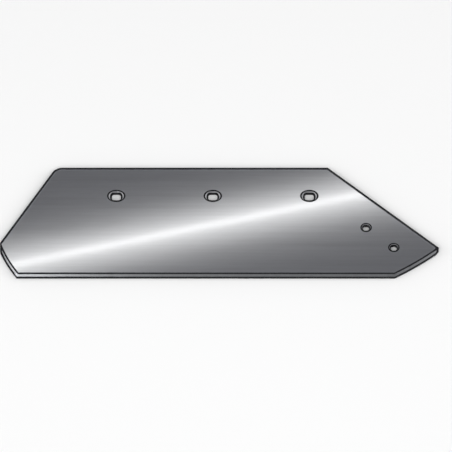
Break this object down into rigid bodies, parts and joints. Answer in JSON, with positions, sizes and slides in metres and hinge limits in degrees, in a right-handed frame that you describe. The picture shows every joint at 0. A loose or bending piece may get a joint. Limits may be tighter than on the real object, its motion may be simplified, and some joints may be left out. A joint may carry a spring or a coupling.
{
  "type": "plough share",
  "caption": "Flat steel plough share with a clipped heel, a pointed nose, a ground lower cutting edge, a row of countersunk seats for the body's bolts and two smaller ones in the nose.",
  "frame": {"origin": "the middle of the bounding box, on the flat back face that the share rests on", "axes": "+X along the share towards its point, +Y towards the edge that butts against the mouldboard, +Z out of the soil face"},
  "size_m": [0.635, 0.1646, 0.012],
  "materials": {
    "ground_steel": "hardened steel plate, finely ground along its length, with a soft sheen, darker cut edges and a ground cutting bevel"
  },
  "bodies": {
    "root": {"plough_share": "ground_steel"}
  },
  "joints": []
}
